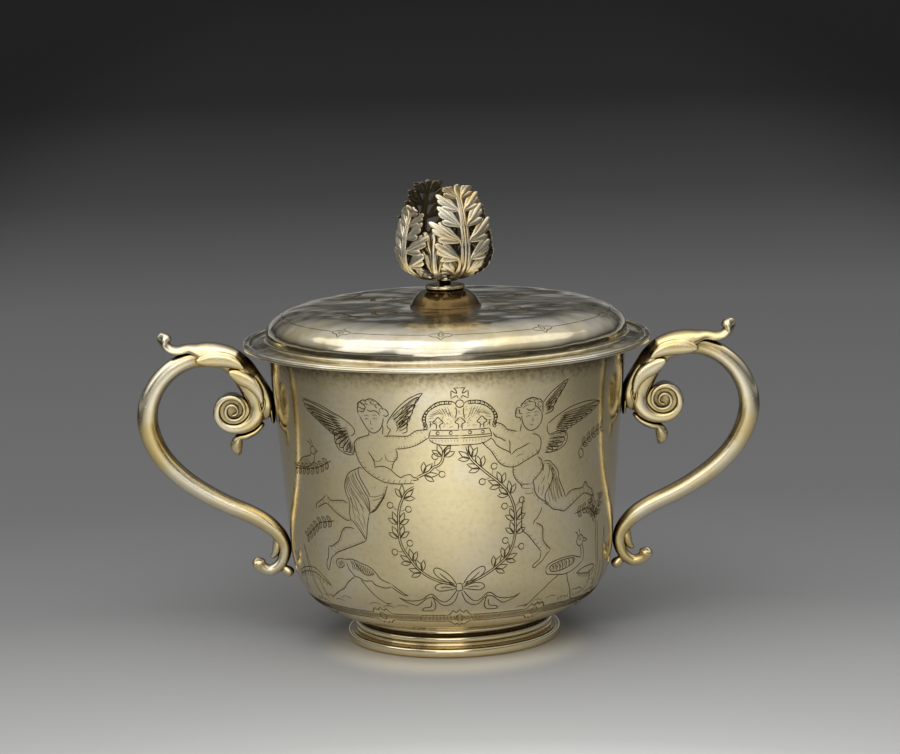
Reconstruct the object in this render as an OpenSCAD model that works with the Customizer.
// Covered two-handled caudle cup in silver-gilt.
// Millimetres, +Z up. The origin is the middle of the foot on the table,
// the handles lie along X, and -Y is the front.

/* [Bowl] */
// Height of the rim above the table
rim_h = 115; // [105:0.5:125]
// Outer radius at the rim
rim_r = 69.3; // [66:0.1:74]
// Outer radius where the wall meets the rounded bottom
belly_r = 62; // [58:0.1:65]
// Radius of the curve between wall and bottom
corner_r = 24.5; // [20:0.5:28]
// Share of the wall's outward lean that is kept for the lip
lip_flare = 0.14; // [0:0.01:0.3]
// Thickness of the raised bowl
wall = 1.3; // [0.9:0.1:2]

/* [Foot] */
// Height of the foot, from the table to the underside of the bowl
foot_h = 10.5; // [9:0.1:13]
// Outer radius of the base ring
foot_r = 41.3; // [40:0.1:44]
// Height of the base ring
base_ring_h = 3.6; // [2.5:0.1:4.5]
// Width of the base ring's flat underside
base_ring_w = 6; // [4.5:0.1:8]
// Width of the ledge between the base ring's edge and the moulding
ledge_w = 2.8; // [2:0.1:4]
// Radius of the half-round moulding
moulding_r = 1.6; // [1.2:0.1:2]
// Width of the moulded strip, from its face to its back
moulding_w = 3.6; // [3:0.1:5]

/* [Cover] */
// How far the flange stands out past the bowl's rim
flange_out = 9; // [7:0.1:11]
// Thickness of the cover's raised sheet
cover_t = 1.2; // [0.8:0.1:1.6]
// Height of the cover's flat top above the bowl's rim
dome_h = 14.2; // [12:0.1:18]
// Width of the cover's rounded shoulder
shoulder_w = 19.4; // [14:0.1:26]
// Height of the cover's rounded shoulder
shoulder_h = 9.7; // [7:0.1:10]
// Width of the half-round wire on the flange's edge
rim_wire_w = 2.6; // [1.8:0.1:3.4]
// Depth of the bezel inside the bowl's mouth
bezel_depth = 6.5; // [4:0.1:10]
// Thickness of the bezel strip
bezel_t = 1.2; // [0.8:0.1:1.6]
// Room between the bezel and the bowl
bezel_clear = 0.5; // [0.3:0.05:0.8]

/* [Finial] */
// Radius of the raised button under the finial
boss_r = 14.2; // [11:0.1:18]
// Height of the raised button
boss_h = 5.8; // [4.5:0.1:8]
// Radius of the turned collar
collar_r = 7.6; // [6.5:0.1:10]
// Height of the turned collar
collar_h = 2.1; // [1.5:0.1:3]
// Radius of the stem
stem_r = 2.2; // [1.6:0.1:2.6]
// Height of the bare stem between the collar and the leaf seat
stem_neck_h = 1.4; // [1:0.1:3]
// Radius of the round seat that carries the leaves
seat_r = 5.5; // [4.5:0.1:7]
// Thickness of the leaf seat
seat_t = 1; // [0.8:0.1:1.6]
// Height of the large leaves at the front right and back left
leaf_h = 38.5; // [32:0.5:45]
// Height of the two large leaves at the sides, which curl over lower
side_leaf_h = 30.5; // [26:0.5:40]
// Radius of the bell that the large leaves form
leaf_spread = 16.8; // [15.5:0.1:20]
// Width of a large leaf over its lobes
leaf_w = 22; // [16:0.5:23]
// Height of the small leaves
leaflet_h = 21; // [16:0.5:26]
// Radius of the bell that the small leaves form
leaflet_spread = 13.6; // [12:0.1:14.2]
// Width of a small leaf
leaflet_w = 9; // [6:0.5:11]
// Thickness of every leaf of the finial
leaf_t = 1.2; // [0.8:0.1:1.4]
// Turn of the first large leaf from the front towards +X, in degrees
leaf_turn = 28; // [0:1:45]
// Width of the square nut under the cover
nut_w = 8; // [7:0.1:10]
// Thickness of the nut
nut_t = 3.2; // [2:0.1:5]
// Radius of the washer
washer_r = 6; // [5:0.1:8]
// Thickness of the washer
washer_t = 0.8; // [0.5:0.1:1.5]

/* [Handles] */
// Reach of the scroll bar's middle from the bowl's wall
handle_reach = 50; // [45:0.5:56]
// Height of the lower solder joint above the rounded bottom's centre
lower_seat_rise = 1.2; // [0:0.1:4]
// Thickness of the bar at its widest
bar_t = 7.9; // [6.8:0.1:8.5]
// Depth of the bar from front to back
bar_depth = 8.8; // [7:0.1:9.5]
// How far the bar's highest point lies below the rim
bar_top_drop = 4; // [3:0.1:6]
// Radius of the volute under its eye
volute_r = 9.2; // [8.6:0.1:10]
// Depth of the volute at its eye
volute_depth = 11.2; // [9:0.1:13]
// Gap between the turns of the volute
turn_gap = 0.3; // [0.2:0.05:0.5]
// Thickness of the leaf on the bar
cap_t = 2; // [1.5:0.1:2.4]
// Thickness of the leaf's stalk between bowl and volute
stalk_t = 2.6; // [2:0.1:3.2]
// Length of the drop under the volute
drop_len = 9; // [6:0.5:12]

/* [Fits] */
// Solder film between pieces that are joined
solder_gap = 0.05; // [0.02:0.01:0.1]
// Solder film between the handle's leaf and the bar it lies on
saddle_gap = 0.25; // [0.2:0.05:0.4]
// Solder film between the drop's strip and the whorl it follows
strip_gap = 0.17; // [0.12:0.01:0.3]
// Room round the stem in its holes
stem_clear = 0.1; // [0.05:0.05:0.2]

/* [Hidden] */
$fn = 96;

// Colours of the two gilt tones
pale_gilt = "#d8cfa8";
warm_gilt = "#c9a55a";

// Bowl: the corner arc ends where its slope is the wall's own
corner_z = foot_h + corner_r;
lean = atan((rim_r - belly_r) * (1 - lip_flare) / (rim_h - corner_z));
corner_x = belly_r - corner_r * cos(lean);
wall_z = corner_z - corner_r * sin(lean);
arc_steps = 10;
wall_steps = 8;

// Foot
ledge_r = foot_r - ledge_w;
quirk = 0.5;
quirk_h = 1;
moulding_z = base_ring_h + quirk_h + moulding_r;

// Cover and finial heights
top_z = rim_h + dome_h;
shoulder_z = top_z - shoulder_h;
flange_r = rim_r + flange_out;
flange_fillet = 1.2;
flange_rise = 0.9;
boss_z = top_z + boss_h;
collar_z = boss_z + collar_h;
seat_z = collar_z + stem_neck_h;
leaf_z = seat_z + seat_t + solder_gap;
tang_spare = 1;
hole_r = stem_r + stem_clear;

// Handle: the bar and its volute are drawn at these sizes and stretched to the chosen ones
drawn_reach = 50;
drawn_rise = 78.8;
drawn_bar = 7.9;
drawn_volute = 9.2;
lower_z = corner_z + lower_seat_rise;
reach_k = handle_reach / drawn_reach;
rise_k = (rim_h - lower_z) / drawn_rise;
bar_k = bar_t / drawn_bar;
volute_k = volute_r / drawn_volute;

// Bar from the bulb of the lower hook to the crown: room to the wall, height over the joint, half thickness
bar_points = [
    [13.2, -4.3, 0.8], [11.2, -6.2, 2.6], [10.6, -8.4, 2.3], [7.9, -9.6, 2.1], [4, -7.8, 2.2],
    [1, -4.2, 2.3], [0, 0, 2.45], [1.5, 4.6, 2.85], [5.2, 9, 3.25], [11.3, 13, 3.35], [19.6, 17, 3.4],
    [27, 21.4, 3.5], [34.1, 26.8, 3.65], [39.8, 33, 3.75], [43.6, 39.8, 3.9], [45.6, 46.8, 3.95],
    [45.4, 52.8, 3.95], [43.4, 59.3, 3.9], [39.1, 65.8, 3.75], [33.3, 70.8, 3.6], [26.8, 73.8, 3.45]
];
// Neck from the crown to the volute: place from the volute's centre, half thickness
neck_points = [[9, 20.6, 3.6], [2.5, 19.2, 3.7], [-2.2, 15.7, 3.9], [-5.4, 11, 4.1]];
bar_steps = 2;
bar_sides = 12;

// Volute: a spiral that shrinks to this share in each full turn and swells where it leaves the neck
turn_shrink = 0.466;
neck_swell = 0.24;
swell_angle = 102;
spiral_start = 150;
spiral_end = 880;
spiral_step = 22;
spiral_full = 270;
neck_rise = neck_points[0][1] * volute_k;
volute_z = rim_h - bar_top_drop - neck_rise;
volute_x = wall_r(volute_z) + solder_gap + stalk_t + saddle_gap + turn_r(180);

// Outer radius of the bowl at height z
function wall_r(z) =
    let (t = (min(z, rim_h) - wall_z) / (rim_h - wall_z))
    z >= wall_z
        ? belly_r + (rim_r - belly_r) * (t + lip_flare * (t * t * t - t))
        : corner_x + sqrt(max(0, corner_r * corner_r - pow(corner_z - max(z, foot_h), 2)));

// Outer radius of the volute at an angle counted along its turns
function turn_r(a) =
    let (swell = sin(90 * min(1, max(0, (spiral_full - a) / swell_angle))))
    volute_r * (pow(turn_shrink, (a - spiral_full) / 360) + neck_swell * swell * swell);

// Points of an arc round c
function arc(c, r, from, to, steps) =
    [for (i = [0:steps]) let (a = from + (to - from) * i / steps) c + r * [cos(a), sin(a)]];

// Smooth curve through hand-placed points
function curve_at(p, q, r, s, t) =
    0.5 * (2 * q + (r - p) * t + (2 * p - 5 * q + 4 * r - s) * t * t + (3 * q - p - 3 * r + s) * t * t * t);
function curve(p, steps) =
    let (last = len(p) - 1)
    [for (i = [0:last - 1], k = [0:steps - 1])
        curve_at(p[max(i - 1, 0)], p[i], p[i + 1], p[min(i + 2, last)], k / steps), p[last]];

// Point of an evenly counted list at the share s of its length
function along(p, s) =
    let (x = s * (len(p) - 1), i = min(floor(x), len(p) - 2))
    p[i] + (p[i + 1] - p[i]) * (x - i);

// Normal on the left of a path in the XZ plane, also between its points
function left_of(p, x) =
    let (s = 1 / (len(p) - 1), d = along(p, min(1, (x + 1) * s)) - along(p, max(0, (x - 1) * s)))
    [-d[1], d[0]] / norm([d[0], d[1]]);

// Solid through rings of equally many points, each ring closed and both ends capped
module tube(rings) {
    n = len(rings[0]);
    last = len(rings) - 1;
    caps = [for (r = [rings[0], rings[last]]) [for (k = [0:2]) [for (p = r) p[k]] * [for (p = r) 1] / n]];
    points = concat([for (r = rings, p = r) p], caps);
    sides = [for (i = [0:last - 1], k = [0:n - 1])
        let (a = i * n + k, b = i * n + (k + 1) % n)
        each [[a, b, b + n], [a, b + n, a + n]]];
    ends = [for (k = [0:n - 1])
        let (j = (k + 1) % n)
        each [[len(points) - 2, j, k], [len(points) - 1, last * n + k, last * n + j]]];
    polyhedron(points, concat(sides, ends));
}

// Thin solid between a front and a back grid of equal size
module thick_sheet(front, back) {
    rows = len(front);
    n = len(front[0]);
    rings = [for (i = [0:rows - 1]) concat(front[i], [for (k = [n - 1:-1:0]) back[i][k]])];
    m = 2 * n;
    points = [for (r = rings, p = r) p];
    sides = [for (i = [0:rows - 2], k = [0:m - 1])
        let (a = i * m + k, b = i * m + (k + 1) % m)
        each [[a, b, b + m], [a, b + m, a + m]]];
    ends = [for (row = [0, rows - 1], k = [0:n - 2])
        let (a = row * m + k, b = a + 1, c = row * m + m - 2 - k, d = c + 1)
        each row == 0 ? [[a, c, b], [a, d, c]] : [[a, b, c], [a, c, d]]];
    polyhedron(points, concat(sides, ends));
}

// Ring across a path in the XZ plane, wide along the normal and deep along Y; a power below 1 squares it off
function ring(c, n, wide, deep, sides, power = 1) =
    [for (k = [0:sides - 1])
        let (a = 360 * k / sides,
            w = wide * sign(cos(a)) * pow(abs(cos(a)), power),
            d = deep * sign(sin(a)) * pow(abs(sin(a)), power))
        [c[0] + n[0] * w, d, c[1] + n[1] * w]];

module both_hands(hand) {
    if (hand == "right") children();
    else mirror([1, 0, 0]) children();
}

module bowl() {
    outside = concat(
        [[0, foot_h]],
        arc([corner_x, corner_z], corner_r, -90, -lean, arc_steps),
        [for (i = [1:wall_steps]) let (z = wall_z + (rim_h - wall_z) * i / wall_steps) [wall_r(z), z]]);
    inside = concat(
        [for (i = [wall_steps:-1:1])
            let (z = wall_z + (rim_h - wall_z) * i / wall_steps) [wall_r(z) - wall, z]],
        arc([corner_x, corner_z], corner_r - wall, -lean, -90, arc_steps),
        [[0, foot_h + wall]]);
    color(pale_gilt) rotate_extrude() polygon(concat(outside, inside));
}

module foot_base_ring() {
    edge = 0.4;
    color(pale_gilt) rotate_extrude() polygon([
        [foot_r - base_ring_w, 0], [foot_r - edge, 0], [foot_r, edge],
        [foot_r, base_ring_h - edge], [foot_r - edge, base_ring_h], [foot_r - base_ring_w, base_ring_h]]);
}

module foot_moulding() {
    core_r = ledge_r - moulding_r;
    neck_in = 0.5;
    color(pale_gilt) rotate_extrude() polygon(concat(
        [[ledge_r - moulding_w, base_ring_h], [ledge_r - quirk, base_ring_h],
            [ledge_r - quirk, base_ring_h + quirk_h / 2], [core_r, base_ring_h + quirk_h]],
        arc([core_r, moulding_z], moulding_r, -80, 90, arc_steps),
        [[core_r - neck_in, moulding_z + moulding_r + neck_in], [core_r - neck_in, foot_h - neck_in],
            [core_r, foot_h], [ledge_r - moulding_w, foot_h]]));
}

// Profile of the cover's shoulder, t inwards from the outside
function shoulder(t) =
    [for (i = [0:arc_steps]) let (a = 90 * i / arc_steps)
        [rim_r - shoulder_w + (shoulder_w - t) * cos(a), shoulder_z + (shoulder_h - t) * sin(a)]];

module cover() {
    outside = concat(
        [[rim_r - cover_t, rim_h], [flange_r, rim_h], [flange_r, rim_h + cover_t],
            [flange_r - rim_wire_w, rim_h + cover_t]],
        arc([rim_r + flange_fillet, rim_h + cover_t + flange_rise + flange_fillet],
            flange_fillet, 270, 180, 4),
        shoulder(0),
        [[hole_r, top_z]]);
    inside = concat([[hole_r, top_z - cover_t]], [for (i = [arc_steps:-1:0]) shoulder(cover_t)[i]]);
    color(pale_gilt) rotate_extrude() polygon(concat(outside, inside));
}

module cover_rim_wire() {
    r = rim_wire_w / 2;
    color(pale_gilt) translate([0, 0, rim_h + cover_t + solder_gap])
        rotate_extrude() translate([flange_r - r, 0]) intersection() {
            circle(r);
            translate([-r, 0]) square([2 * r, r]);
        }
}

module cover_bezel() {
    out_r = wall_r(rim_h - bezel_depth) - wall - bezel_clear;
    lip_r = rim_r - cover_t - solder_gap;
    lip_h = 2;
    color(pale_gilt) rotate_extrude() polygon([
        [out_r - bezel_t, rim_h - bezel_depth], [out_r, rim_h - bezel_depth],
        [out_r, rim_h + bezel_clear], [lip_r, rim_h + bezel_clear],
        [lip_r, rim_h + lip_h], [out_r - bezel_t, rim_h + lip_h]]);
}

module finial_boss() {
    // Flared side: shares of the way in to the collar and of the height
    side = curve([[0, 0], [0.2, 0.14], [0.44, 0.38], [0.68, 0.68], [0.87, 0.91], [1, 1]], 2);
    foot_w = cover_t * 2;
    color(warm_gilt) rotate_extrude() polygon(concat(
        [[boss_r - foot_w, top_z]],
        [for (p = side) [boss_r - (boss_r - collar_r) * p[0], top_z + boss_h * p[1]]],
        [[hole_r, boss_z], [hole_r, boss_z - cover_t], [collar_r, boss_z - cover_t]]));
}

module finial_collar() {
    r = collar_h / 2;
    top_flat = 1.2;
    color(warm_gilt) rotate_extrude() polygon(concat(
        [[hole_r, boss_z]],
        arc([collar_r - r, boss_z + r], r, -90, 90, arc_steps),
        [[stem_r + top_flat, collar_z], [hole_r, collar_z]]));
}

module finial_stem() {
    tang_z = top_z - cover_t - washer_t - nut_t - tang_spare;
    flare = 0.6;
    color(warm_gilt) rotate_extrude() polygon([
        [0, tang_z], [stem_r, tang_z], [stem_r, collar_z], [stem_r, seat_z - flare],
        [seat_r - flare, seat_z], [seat_r, seat_z + seat_t / 2], [seat_r, seat_z + seat_t],
        [0, seat_z + seat_t]]);
}

module finial_washer() {
    color(warm_gilt) translate([0, 0, top_z - cover_t - washer_t]) difference() {
        cylinder(h = washer_t, r = washer_r);
        translate([0, 0, -washer_t]) cylinder(h = 3 * washer_t, r = hole_r);
    }
}

module finial_nut() {
    color(warm_gilt) translate([0, 0, top_z - cover_t - washer_t - nut_t]) difference() {
        translate([-nut_w / 2, -nut_w / 2, 0]) cube([nut_w, nut_w, nut_t]);
        translate([0, 0, -nut_t]) cylinder(h = 3 * nut_t, r = hole_r);
    }
}

// Leaf of the finial: midrib as radius and height, both shares of the leaf's own spread and height
tall_rib = [[0.2, 0.004], [0.47, 0.01], [0.73, 0.06], [0.92, 0.15], [1, 0.28], [0.98, 0.45], [0.88, 0.63],
    [0.74, 0.79], [0.65, 0.9], [0.65, 0.97], [0.74, 0.985]];
side_rib = [[0.2, 0.004], [0.47, 0.01], [0.73, 0.06], [0.92, 0.15], [1, 0.28], [0.98, 0.45], [0.9, 0.63],
    [0.8, 0.79], [0.77, 0.9], [0.83, 0.97], [0.93, 0.985]];
small_rib = [[0.25, 0.008], [0.55, 0.016], [0.8, 0.1], [0.96, 0.27], [1, 0.5], [0.95, 0.75], [0.9, 0.92],
    [0.97, 1]];

// Lobes on each side, rows and columns of facets
large_leaf = [5, 36, 6];
small_leaf = [3, 15, 4];

module acanthus(rib, spread, high, wide, count) {
    lobes = count[0];
    rows = count[1];
    columns = count[2];
    root_w = 2.2;
    bulge = 0.45;
    notch_share = 0.5;
    sweep_share = 0.3;
    root_share = 0.15;
    edge_share = 0.6;
    path = [for (p = curve(rib, 4)) [p[0] * spread, leaf_t / 2 + p[1] * (high - leaf_t)]];
    // One side of the sheet: side is 1 for the face and -1 for the back
    function leaf_point(s, u, side) =
        let (lobe = abs(sin(180 * lobes * s)),
            half = root_w / 2
                + (wide - root_w) / 2 * pow(sin(180 * pow(s, 0.8)), 0.8)
                * (1 - notch_share * pow(1 - lobe, 2)),
            rooted = min(1, s / root_share),
            up = s + sweep_share * abs(u) * (1 - s) * rooted,
            c = along(path, up),
            n = -left_of(path, up * (len(path) - 1)),
            lift = side * leaf_t / 2 * (1 - (1 - edge_share) * u * u)
                + bulge * (lobe - 0.5) * abs(u) * rooted,
            r = c[0] + n[0] * lift,
            a = half * u / c[0] * 180 / PI)
        [r * cos(a), r * sin(a), leaf_z + c[1] + n[1] * lift];
    thick_sheet(
        [for (i = [0:rows]) [for (k = [0:columns]) leaf_point(i / rows, 2 * k / columns - 1, 1)]],
        [for (i = [0:rows]) [for (k = [0:columns]) leaf_point(i / rows, 2 * k / columns - 1, -1)]]);
}

module finial_leaf(i) {
    tall = i % 2 == 1;
    color(pale_gilt) rotate([0, 0, leaf_turn - 90 + 90 * (i - 1)])
        acanthus(tall ? tall_rib : side_rib, leaf_spread, tall ? leaf_h : side_leaf_h, leaf_w, large_leaf);
}

module finial_leaflet(i) {
    color(warm_gilt) rotate([0, 0, leaf_turn - 45 + 90 * (i - 1)])
        acanthus(small_rib, leaflet_spread, leaflet_h, leaflet_w, small_leaf);
}

// Middle, half thickness and half depth of the scroll from its bulb to the eye of the volute
bar_line = [for (p = bar_points) let (z = lower_z + p[1] * rise_k)
    [wall_r(z) + solder_gap + p[2] * bar_k + p[0] * reach_k, z,
        p[2] * bar_k, bar_depth / bar_t * p[2] * bar_k]];
neck_line = [for (p = neck_points)
    [volute_x + p[0] * volute_k, volute_z + p[1] * volute_k, p[2] * bar_k, bar_depth / 2]];
spiral_line = [for (a = [spiral_start:spiral_step:spiral_end])
    let (half = (turn_r(a) - turn_r(a + 360) - turn_gap) / 2,
        mid = turn_r(a) - half,
        inward = (a - spiral_start) / (spiral_end - spiral_start),
        depth = bar_depth + (volute_depth - bar_depth) * inward)
    [volute_x + mid * cos(a), volute_z + mid * sin(a), half, depth / 2]];
scroll_line = concat(curve(concat(bar_line, neck_line), bar_steps), spiral_line);

// The bar is oval; past the leaf's saddle it grows flat-sided, as the volute is
spiral_first = (len(bar_line) + len(neck_line) - 1) * bar_steps + 1;
volute_power = 0.5;
squaring_first = spiral_first + 2;
squaring_rings = 5;

module handle_scroll(hand) {
    function power(i) = 1 - (1 - volute_power) * max(0, min(1, (i - squaring_first) / squaring_rings));
    color(warm_gilt) both_hands(hand) tube([for (i = [0:len(scroll_line) - 1])
        let (p = scroll_line[i])
        ring(p, left_of(scroll_line, i), p[2], p[3], bar_sides, power(i))]);
}

// Leaf of the handle: stalk up the bowl, saddle on the bar with two lobes a side, free thumb curl
saddle_last = (len(bar_line) - 1) * bar_steps + 1;
saddle_rows = 16;
first_lobe = 0.4;
lobe_least = 62;
lobe_most = 112;
lobe_sweep = 2;
cap_edge_share = 0.5;
stalk_width = 3.6;
stalk_crown = 0.5;
stalk_angle = 70;
thumb_angle = 60;
stalk_line = [for (up = [-6, -3, 0, 3, 5.5]) let (z = volute_z + up * volute_k)
    [wall_r(z) + solder_gap + stalk_t / 2, z, stalk_crown, stalk_width, stalk_angle, stalk_t]];
saddle_line = [for (i = [1:saddle_rows])
    let (s = i / saddle_rows,
        x = spiral_first + s * (saddle_last - spiral_first),
        p = along(scroll_line, x / (len(scroll_line) - 1)),
        n = -left_of(scroll_line, x),
        off = saddle_gap + cap_t / 2,
        lobe = s < first_lobe ? s / first_lobe : (s - first_lobe) / (1 - first_lobe))
    [p[0] + n[0] * (p[2] + off), p[1] + n[1] * (p[2] + off), p[2] + off, p[3] + off,
        lobe_least + (lobe_most - lobe_least) * pow(sin(180 * lobe), 0.7), cap_t]];
thumb_start = saddle_line[len(saddle_line) - 1];
// Thumb curl: place from the saddle's end, crown, half width and thickness; it thickens to a knob
thumb_points = [[3.4, -0.6, 3.2, 4.4, 2.2], [7, -1.5, 2.6, 4.1, 2.6], [10.4, -1.1, 2, 3.7, 2.9],
    [12.8, 0.7, 1.6, 3.2, 3.3], [13.6, 2.8, 1.2, 2.8, 3.8], [13.1, 4.6, 0.8, 2.2, 3.4],
    [12.3, 5.8, 0.4, 1.2, 1.6]];
thumb_line = [for (p = thumb_points)
    [thumb_start[0] + p[0] * bar_k, thumb_start[1] + p[1] * bar_k,
        p[2] * bar_k, p[3] * bar_k, thumb_angle, p[4] * bar_k]];
cap_line = concat(stalk_line, saddle_line, thumb_line);
cap_columns = 8;

module handle_leaf(hand) {
    rows = len(cap_line) - 1;
    // The lobes' edges are swept towards the thumb curl
    function cap_point(i, u, side) =
        let (s = max(0, min(1, (i - len(stalk_line)) / saddle_rows)),
            x = i + lobe_sweep * u * u * sin(180 * s),
            c = along(cap_line, x / rows),
            n = left_of(cap_line, x),
            a = cap_line[i][4] * u,
            t = side * c[5] / 2 * (1 - (1 - cap_edge_share) * u * u))
        [c[0] + n[0] * (c[2] * (cos(a) - 1) + t * cos(a)), c[3] * sin(a) + t * sin(a),
            c[1] + n[1] * (c[2] * (cos(a) - 1) + t * cos(a))];
    color(warm_gilt) both_hands(hand) thick_sheet(
        [for (i = [0:rows]) [for (k = [0:cap_columns]) cap_point(i, 2 * k / cap_columns - 1, 1)]],
        [for (i = [0:rows]) [for (k = [0:cap_columns]) cap_point(i, 2 * k / cap_columns - 1, -1)]]);
}

// Small round-sided piece along hand-placed points: place, half width in the plane, half depth along Y
tendril_sides = 10;
module tendril(line) {
    path = curve(line, 3);
    tube([for (i = [0:len(path) - 1])
        ring(path[i], left_of(path, i), path[i][2], path[i][3], tendril_sides)]);
}

// Drop: a strip along the underside of the whorl from the bowl's side, then a free tip that hangs down
drop_strip = [[205, 0.5, 2.6], [225, 0.6, 3], [245, 0.75, 3.2]];
drop_tip = [[-2.3, -11.2, 1.3, 3.2], [-1.1, -13, 2, 3.1], [-1, -15, 2.1, 2.7], [-1.5, -16.8, 1.5, 1.9],
    [-2, -17.5, 0.5, 0.6]];
drop_drawn = 9;

module volute_drop(hand) {
    k = drop_len / drop_drawn;
    under = -drawn_volute;
    strip = [for (p = drop_strip) let (r = turn_r(p[0]) + strip_gap + p[1])
        [volute_x + r * cos(p[0]), volute_z + r * sin(p[0]), p[1], p[2]]];
    tip = [for (p = drop_tip)
        [volute_x + p[0] * volute_k, volute_z + (under + (p[1] - under) * k) * volute_k, p[2], p[3]]];
    color(warm_gilt) both_hands(hand) tendril(concat(strip, tip));
}

module curl_leaf(hand) {
    c = bar_line[6];
    color(warm_gilt) both_hands(hand) tendril([
        for (p = [[3, 2.4, 1.1], [2, 0.4, 1.1], [2, -2.6, 0.9], [3.4, -4.6, 0.4]] * bar_k)
            [c[0] + c[2] + p[0], c[1] + p[1], p[2], p[2]]]);
}

module handle_bud(hand) {
    c = bar_line[4];
    n = [-0.83, -0.56];
    color(warm_gilt) both_hands(hand) tendril([
        for (p = [[0.5, 0.9], [1.5, 1.8], [3, 1.9], [4.6, 0.6]] * bar_k)
            [c[0] + n[0] * (c[2] + p[0]), c[1] + n[1] * (c[2] + p[0]), p[1], p[1]]]);
}

bowl();
foot_moulding();
foot_base_ring();
cover();
cover_rim_wire();
cover_bezel();
finial_boss();
finial_collar();
finial_stem();
finial_washer();
finial_nut();
for (i = [1:4]) {
    finial_leaf(i);
    finial_leaflet(i);
}
for (hand = ["right", "left"]) {
    handle_scroll(hand);
    handle_leaf(hand);
    volute_drop(hand);
    curl_leaf(hand);
    handle_bud(hand);
}
